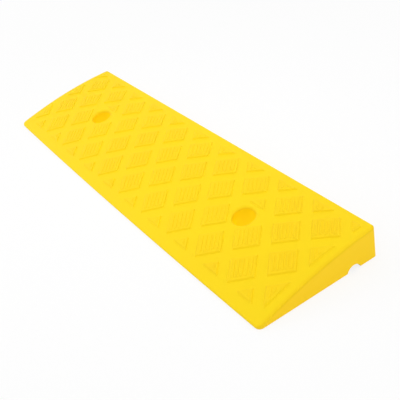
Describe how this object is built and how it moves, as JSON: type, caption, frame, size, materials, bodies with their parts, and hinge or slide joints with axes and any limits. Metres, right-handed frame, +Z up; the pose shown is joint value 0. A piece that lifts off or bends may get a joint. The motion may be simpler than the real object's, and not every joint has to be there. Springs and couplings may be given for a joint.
{
  "type": "threshold ramp",
  "caption": "Yellow wedge-shaped threshold ramp with a convex rhombic tread, capped fixing wells, a cable channel under the high side and grip feet.",
  "frame": {"origin": "on the floor, under the middle of the ramp", "axes": "+X along the ramp, +Y from the low edge to the high edge, +Z up"},
  "size_m": [0.49, 0.1378, 0.0334],
  "materials": {
    "yellow_rubber": "satin moulded yellow, hard grade",
    "yellow_cap": "satin moulded yellow",
    "washer_steel": "zinc plated",
    "grip_rubber": "matte black, soft grade"
  },
  "bodies": {
    "ramp": {"ramp_body": "yellow_rubber", "left_washer": "washer_steel", "right_washer": "washer_steel", "front_foot_1": "grip_rubber", "front_foot_2": "grip_rubber", "front_foot_3": "grip_rubber", "front_foot_4": "grip_rubber", "back_foot_1": "grip_rubber", "back_foot_2": "grip_rubber", "back_foot_3": "grip_rubber", "back_foot_4": "grip_rubber"},
    "left_plug": {"left_cap": "yellow_cap"},
    "right_plug": {"right_cap": "yellow_cap"}
  },
  "joints": [
    {"name": "left_cap_pull", "type": "slide", "parent": "ramp", "child": "left_plug", "axis": [0, 0, 1], "range_m": [0, 0.03]},
    {"name": "right_cap_pull", "type": "slide", "parent": "ramp", "child": "right_plug", "axis": [0, 0, 1], "range_m": [0, 0.03]}
  ]
}
